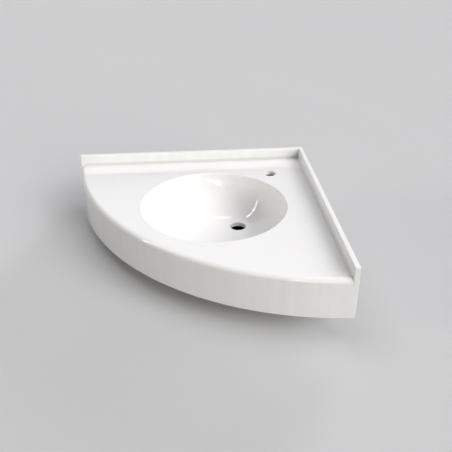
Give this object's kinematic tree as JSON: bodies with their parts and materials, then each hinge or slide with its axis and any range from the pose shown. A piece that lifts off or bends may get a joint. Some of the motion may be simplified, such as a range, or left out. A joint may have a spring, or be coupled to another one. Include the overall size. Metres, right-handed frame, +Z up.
{
  "type": "corner basin",
  "caption": "Wall-hung corner basin with a round bowl set off centre, a curved apron, low upstands on both wall sides and a single tap hole.",
  "frame": {"origin": "the room corner where the two wall planes meet, level with the apron's bottom edge", "axes": "+Z up, +Y into the back wall and +X into the side wall, so the basin lies at negative X and Y"},
  "size_m": [0.7, 0.7, 0.163],
  "materials": {
    "surface": "polished white mineral-filled acrylic sheet",
    "rail": "mill-finish extrusion",
    "fixing": "bright stainless",
    "insert": "turned"
  },
  "bodies": {
    "root": {"deck_panel": "surface", "bowl": "surface", "back_upstand": "surface", "side_upstand": "surface", "back_cove": "surface", "side_cove": "surface", "front_apron": "surface", "apron_backing": "surface", "left_rib": "surface", "right_rib": "surface", "back_rail": "rail", "side_rail": "rail", "rail_inserts": "insert", "rail_washers": "fixing", "rail_screws": "fixing", "clip_blocks": "surface", "clip_inserts": "insert", "bowl_clips": "fixing", "clip_washers": "fixing", "clip_screws": "fixing"}
  },
  "joints": []
}
